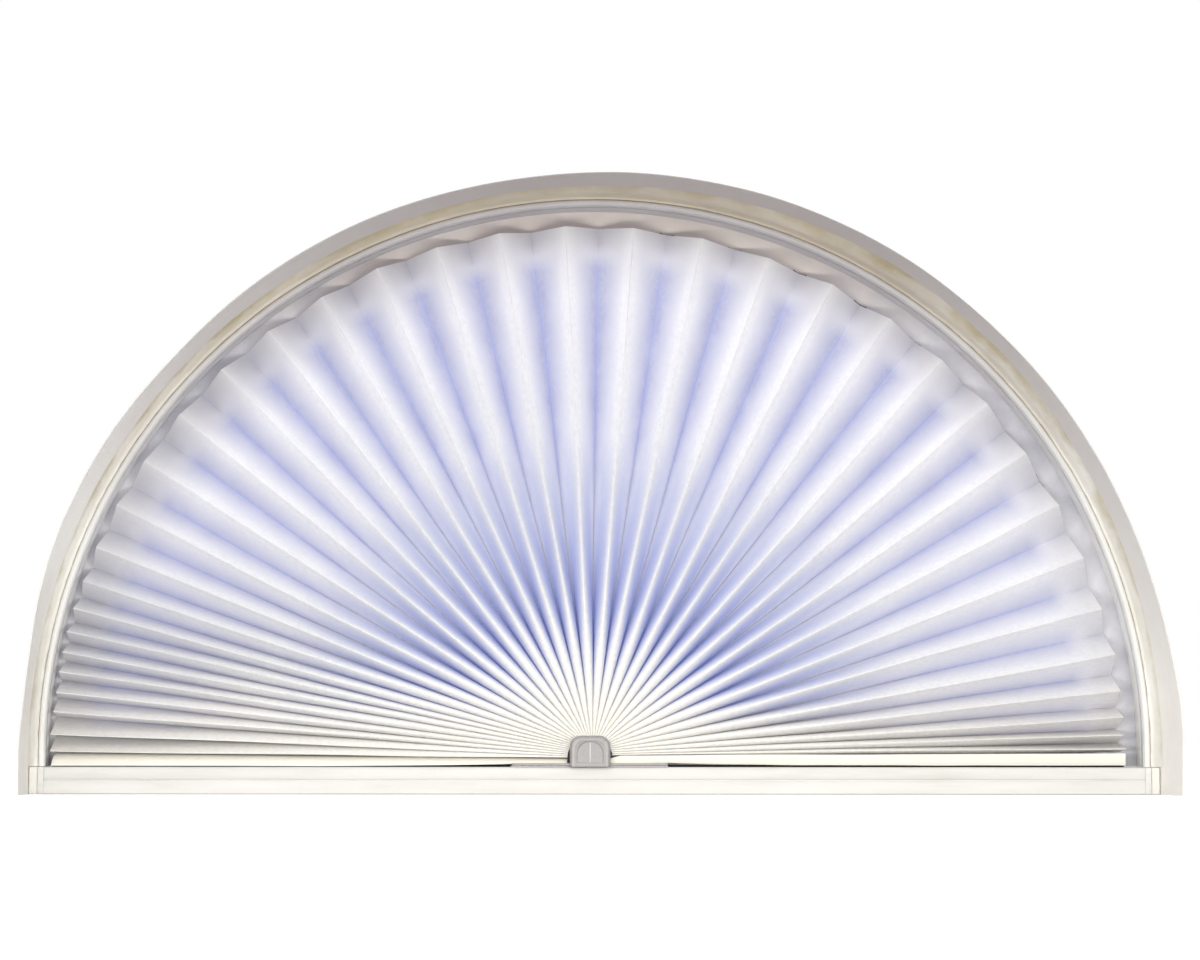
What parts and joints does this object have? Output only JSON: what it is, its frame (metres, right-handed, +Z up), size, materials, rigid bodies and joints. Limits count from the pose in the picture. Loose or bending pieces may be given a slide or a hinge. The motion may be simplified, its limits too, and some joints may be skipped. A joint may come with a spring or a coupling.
{
  "type": "arch pleated shade",
  "caption": "Half-round window opening with a white pleated paper fan shade that folds up and over about a clip at its hub.",
  "frame": {"origin": "middle of the flat base in width and depth, at the height that it stands on", "axes": "+X to the right and -Y towards the room, seen from the room; +Z up"},
  "size_m": [0.968, 0.1, 0.5198],
  "materials": {
    "painted_plaster": "matte",
    "sealant": "satin",
    "white_vinyl": "satin",
    "pleat_paper": "matte",
    "strip_paper": "matte",
    "clear_plastic": "gloss",
    "black_foam": "matte",
    "clear_tape": "satin",
    "screw_steel": "satin"
  },
  "bodies": {
    "frame": {"casing_arch": "painted_plaster", "sealant_bead": "sealant", "front_bead": "white_vinyl", "jamb_arch": "white_vinyl", "sash_ring": "white_vinyl", "sash_bottom_rail": "white_vinyl", "sill_board": "white_vinyl", "jamb_screw_left": "screw_steel", "jamb_screw_right": "screw_steel", "sash_screw_left": "screw_steel", "sash_screw_right": "screw_steel", "sill_seal_left": "black_foam", "sill_seal_right": "black_foam", "hub_adhesive_pad": "clear_tape", "hub_base_plate": "clear_plastic", "hub_front_cover": "clear_plastic", "hub_back_cover": "clear_plastic", "hub_pivot_pin": "screw_steel", "left_end_strip": "strip_paper"},
    "leading_end": {"leading_strip": "strip_paper", "surplus_folds": "pleat_paper"},
    "pleat_01": {"pleat_01": "pleat_paper"},
    "pleat_02": {"pleat_02": "pleat_paper"},
    "pleat_03": {"pleat_03": "pleat_paper"},
    "pleat_04": {"pleat_04": "pleat_paper"},
    "pleat_05": {"pleat_05": "pleat_paper"},
    "pleat_06": {"pleat_06": "pleat_paper"},
    "pleat_07": {"pleat_07": "pleat_paper"},
    "pleat_08": {"pleat_08": "pleat_paper"},
    "pleat_09": {"pleat_09": "pleat_paper"},
    "pleat_10": {"pleat_10": "pleat_paper"},
    "pleat_11": {"pleat_11": "pleat_paper"},
    "pleat_12": {"pleat_12": "pleat_paper"},
    "pleat_13": {"pleat_13": "pleat_paper"},
    "pleat_14": {"pleat_14": "pleat_paper"},
    "pleat_15": {"pleat_15": "pleat_paper"},
    "pleat_16": {"pleat_16": "pleat_paper"},
    "pleat_17": {"pleat_17": "pleat_paper"},
    "pleat_18": {"pleat_18": "pleat_paper"},
    "pleat_19": {"pleat_19": "pleat_paper"},
    "pleat_20": {"pleat_20": "pleat_paper"},
    "pleat_21": {"pleat_21": "pleat_paper"},
    "pleat_22": {"pleat_22": "pleat_paper"},
    "pleat_23": {"pleat_23": "pleat_paper"},
    "pleat_24": {"pleat_24": "pleat_paper"},
    "pleat_25": {"pleat_25": "pleat_paper"},
    "pleat_26": {"pleat_26": "pleat_paper"},
    "pleat_27": {"pleat_27": "pleat_paper"},
    "pleat_28": {"pleat_28": "pleat_paper"},
    "pleat_29": {"pleat_29": "pleat_paper"},
    "pleat_30": {"pleat_30": "pleat_paper"},
    "pleat_31": {"pleat_31": "pleat_paper"},
    "pleat_32": {"pleat_32": "pleat_paper"},
    "pleat_33": {"pleat_33": "pleat_paper"},
    "pleat_34": {"pleat_34": "pleat_paper"},
    "pleat_35": {"pleat_35": "pleat_paper"},
    "pleat_36": {"pleat_36": "pleat_paper"}
  },
  "joints": [
    {"name": "fan_fold", "type": "hinge", "parent": "frame", "child": "leading_end", "pos_m": [-0.0055, 0, 0.0303], "axis": [0, -1, 0], "range_deg": [0, 171], "deforming": ["pleat_01", "pleat_02", "pleat_03", "pleat_04", "pleat_05", "pleat_06", "pleat_07", "pleat_08", "pleat_09", "pleat_10", "pleat_11", "pleat_12", "pleat_13", "pleat_14", "pleat_15", "pleat_16", "pleat_17", "pleat_18", "pleat_19", "pleat_20", "pleat_21", "pleat_22", "pleat_23", "pleat_24", "pleat_25", "pleat_26", "pleat_27", "pleat_28", "pleat_29", "pleat_30", "pleat_31", "pleat_32", "pleat_33", "pleat_34", "pleat_35", "pleat_36"]},
    {"name": "pleat_01_turn", "type": "hinge", "parent": "frame", "child": "pleat_01", "pos_m": [-0.0055, 0, 0.0303], "axis": [0, -1, 0], "range_deg": [0, 1.1]},
    {"name": "pleat_02_turn", "type": "hinge", "parent": "frame", "child": "pleat_02", "pos_m": [-0.0055, 0, 0.0303], "axis": [0, -1, 0], "range_deg": [0, 3]},
    {"name": "pleat_03_turn", "type": "hinge", "parent": "frame", "child": "pleat_03", "pos_m": [-0.0055, 0, 0.0303], "axis": [0, -1, 0], "range_deg": [0, 4.8]},
    {"name": "pleat_04_turn", "type": "hinge", "parent": "frame", "child": "pleat_04", "pos_m": [-0.0055, 0, 0.0303], "axis": [0, -1, 0], "range_deg": [0, 6.7]},
    {"name": "pleat_05_turn", "type": "hinge", "parent": "frame", "child": "pleat_05", "pos_m": [-0.0055, 0, 0.0303], "axis": [0, -1, 0], "range_deg": [0, 8.6]},
    {"name": "pleat_06_turn", "type": "hinge", "parent": "frame", "child": "pleat_06", "pos_m": [-0.0055, 0, 0.0303], "axis": [0, -1, 0], "range_deg": [0, 10.5]},
    {"name": "pleat_07_turn", "type": "hinge", "parent": "frame", "child": "pleat_07", "pos_m": [-0.0055, 0, 0.0303], "axis": [0, -1, 0], "range_deg": [0, 12.7]},
    {"name": "pleat_08_turn", "type": "hinge", "parent": "frame", "child": "pleat_08", "pos_m": [-0.0055, 0, 0.0303], "axis": [0, -1, 0], "range_deg": [0, 15.1]},
    {"name": "pleat_09_turn", "type": "hinge", "parent": "frame", "child": "pleat_09", "pos_m": [-0.0055, 0, 0.0303], "axis": [0, -1, 0], "range_deg": [0, 18]},
    {"name": "pleat_10_turn", "type": "hinge", "parent": "frame", "child": "pleat_10", "pos_m": [-0.0055, 0, 0.0303], "axis": [0, -1, 0], "range_deg": [0, 21.8]},
    {"name": "pleat_11_turn", "type": "hinge", "parent": "frame", "child": "pleat_11", "pos_m": [-0.0055, 0, 0.0303], "axis": [0, -1, 0], "range_deg": [0, 26.5]},
    {"name": "pleat_12_turn", "type": "hinge", "parent": "frame", "child": "pleat_12", "pos_m": [-0.0055, 0, 0.0303], "axis": [0, -1, 0], "range_deg": [0, 31.9]},
    {"name": "pleat_13_turn", "type": "hinge", "parent": "frame", "child": "pleat_13", "pos_m": [-0.0055, 0, 0.0303], "axis": [0, -1, 0], "range_deg": [0, 37.8]},
    {"name": "pleat_14_turn", "type": "hinge", "parent": "frame", "child": "pleat_14", "pos_m": [-0.0055, 0, 0.0303], "axis": [0, -1, 0], "range_deg": [0, 43.9]},
    {"name": "pleat_15_turn", "type": "hinge", "parent": "frame", "child": "pleat_15", "pos_m": [-0.0055, 0, 0.0303], "axis": [0, -1, 0], "range_deg": [0, 50.2]},
    {"name": "pleat_16_turn", "type": "hinge", "parent": "frame", "child": "pleat_16", "pos_m": [-0.0055, 0, 0.0303], "axis": [0, -1, 0], "range_deg": [0, 56.6]},
    {"name": "pleat_17_turn", "type": "hinge", "parent": "frame", "child": "pleat_17", "pos_m": [-0.0055, 0, 0.0303], "axis": [0, -1, 0], "range_deg": [0, 63.1]},
    {"name": "pleat_18_turn", "type": "hinge", "parent": "frame", "child": "pleat_18", "pos_m": [-0.0055, 0, 0.0303], "axis": [0, -1, 0], "range_deg": [0, 69.6]},
    {"name": "pleat_19_turn", "type": "hinge", "parent": "frame", "child": "pleat_19", "pos_m": [-0.0055, 0, 0.0303], "axis": [0, -1, 0], "range_deg": [0, 76.3]},
    {"name": "pleat_20_turn", "type": "hinge", "parent": "frame", "child": "pleat_20", "pos_m": [-0.0055, 0, 0.0303], "axis": [0, -1, 0], "range_deg": [0, 83.2]},
    {"name": "pleat_21_turn", "type": "hinge", "parent": "frame", "child": "pleat_21", "pos_m": [-0.0055, 0, 0.0303], "axis": [0, -1, 0], "range_deg": [0, 90.2]},
    {"name": "pleat_22_turn", "type": "hinge", "parent": "frame", "child": "pleat_22", "pos_m": [-0.0055, 0, 0.0303], "axis": [0, -1, 0], "range_deg": [0, 97.4]},
    {"name": "pleat_23_turn", "type": "hinge", "parent": "frame", "child": "pleat_23", "pos_m": [-0.0055, 0, 0.0303], "axis": [0, -1, 0], "range_deg": [0, 104.6]},
    {"name": "pleat_24_turn", "type": "hinge", "parent": "frame", "child": "pleat_24", "pos_m": [-0.0055, 0, 0.0303], "axis": [0, -1, 0], "range_deg": [0, 111.7]},
    {"name": "pleat_25_turn", "type": "hinge", "parent": "frame", "child": "pleat_25", "pos_m": [-0.0055, 0, 0.0303], "axis": [0, -1, 0], "range_deg": [0, 118.7]},
    {"name": "pleat_26_turn", "type": "hinge", "parent": "frame", "child": "pleat_26", "pos_m": [-0.0055, 0, 0.0303], "axis": [0, -1, 0], "range_deg": [0, 125.5]},
    {"name": "pleat_27_turn", "type": "hinge", "parent": "frame", "child": "pleat_27", "pos_m": [-0.0055, 0, 0.0303], "axis": [0, -1, 0], "range_deg": [0, 132.1]},
    {"name": "pleat_28_turn", "type": "hinge", "parent": "frame", "child": "pleat_28", "pos_m": [-0.0055, 0, 0.0303], "axis": [0, -1, 0], "range_deg": [0, 138.5]},
    {"name": "pleat_29_turn", "type": "hinge", "parent": "frame", "child": "pleat_29", "pos_m": [-0.0055, 0, 0.0303], "axis": [0, -1, 0], "range_deg": [0, 144.7]},
    {"name": "pleat_30_turn", "type": "hinge", "parent": "frame", "child": "pleat_30", "pos_m": [-0.0055, 0, 0.0303], "axis": [0, -1, 0], "range_deg": [0, 150.7]},
    {"name": "pleat_31_turn", "type": "hinge", "parent": "frame", "child": "pleat_31", "pos_m": [-0.0055, 0, 0.0303], "axis": [0, -1, 0], "range_deg": [0, 156.2]},
    {"name": "pleat_32_turn", "type": "hinge", "parent": "frame", "child": "pleat_32", "pos_m": [-0.0055, 0, 0.0303], "axis": [0, -1, 0], "range_deg": [0, 161]},
    {"name": "pleat_33_turn", "type": "hinge", "parent": "frame", "child": "pleat_33", "pos_m": [-0.0055, 0, 0.0303], "axis": [0, -1, 0], "range_deg": [0, 164.8]},
    {"name": "pleat_34_turn", "type": "hinge", "parent": "frame", "child": "pleat_34", "pos_m": [-0.0055, 0, 0.0303], "axis": [0, -1, 0], "range_deg": [0, 167.6]},
    {"name": "pleat_35_turn", "type": "hinge", "parent": "frame", "child": "pleat_35", "pos_m": [-0.0055, 0, 0.0303], "axis": [0, -1, 0], "range_deg": [0, 169.4]},
    {"name": "pleat_36_turn", "type": "hinge", "parent": "frame", "child": "pleat_36", "pos_m": [-0.0055, 0, 0.0303], "axis": [0, -1, 0], "range_deg": [0, 170.7]}
  ],
  "couplings": [
    {"joint": "pleat_01_turn", "follows": "fan_fold", "ratio": 0.00539},
    {"joint": "pleat_02_turn", "follows": "fan_fold", "ratio": 0.01619},
    {"joint": "pleat_03_turn", "follows": "fan_fold", "ratio": 0.02703},
    {"joint": "pleat_04_turn", "follows": "fan_fold", "ratio": 0.03794},
    {"joint": "pleat_05_turn", "follows": "fan_fold", "ratio": 0.04903},
    {"joint": "pleat_06_turn", "follows": "fan_fold", "ratio": 0.06052},
    {"joint": "pleat_07_turn", "follows": "fan_fold", "ratio": 0.07289},
    {"joint": "pleat_08_turn", "follows": "fan_fold", "ratio": 0.08702},
    {"joint": "pleat_09_turn", "follows": "fan_fold", "ratio": 0.10434},
    {"joint": "pleat_10_turn", "follows": "fan_fold", "ratio": 0.12633},
    {"joint": "pleat_11_turn", "follows": "fan_fold", "ratio": 0.15356},
    {"joint": "pleat_12_turn", "follows": "fan_fold", "ratio": 0.1852},
    {"joint": "pleat_13_turn", "follows": "fan_fold", "ratio": 0.21972},
    {"joint": "pleat_14_turn", "follows": "fan_fold", "ratio": 0.25581},
    {"joint": "pleat_15_turn", "follows": "fan_fold", "ratio": 0.29268},
    {"joint": "pleat_16_turn", "follows": "fan_fold", "ratio": 0.33002},
    {"joint": "pleat_17_turn", "follows": "fan_fold", "ratio": 0.36777},
    {"joint": "pleat_18_turn", "follows": "fan_fold", "ratio": 0.40607},
    {"joint": "pleat_19_turn", "follows": "fan_fold", "ratio": 0.44518},
    {"joint": "pleat_20_turn", "follows": "fan_fold", "ratio": 0.48532},
    {"joint": "pleat_21_turn", "follows": "fan_fold", "ratio": 0.52651},
    {"joint": "pleat_22_turn", "follows": "fan_fold", "ratio": 0.56844},
    {"joint": "pleat_23_turn", "follows": "fan_fold", "ratio": 0.61057},
    {"joint": "pleat_24_turn", "follows": "fan_fold", "ratio": 0.65224},
    {"joint": "pleat_25_turn", "follows": "fan_fold", "ratio": 0.69297},
    {"joint": "pleat_26_turn", "follows": "fan_fold", "ratio": 0.73256},
    {"joint": "pleat_27_turn", "follows": "fan_fold", "ratio": 0.77107},
    {"joint": "pleat_28_turn", "follows": "fan_fold", "ratio": 0.80859},
    {"joint": "pleat_29_turn", "follows": "fan_fold", "ratio": 0.84504},
    {"joint": "pleat_30_turn", "follows": "fan_fold", "ratio": 0.87995},
    {"joint": "pleat_31_turn", "follows": "fan_fold", "ratio": 0.91224},
    {"joint": "pleat_32_turn", "follows": "fan_fold", "ratio": 0.9403},
    {"joint": "pleat_33_turn", "follows": "fan_fold", "ratio": 0.9626},
    {"joint": "pleat_34_turn", "follows": "fan_fold", "ratio": 0.97869},
    {"joint": "pleat_35_turn", "follows": "fan_fold", "ratio": 0.98958},
    {"joint": "pleat_36_turn", "follows": "fan_fold", "ratio": 0.99696}
  ]
}
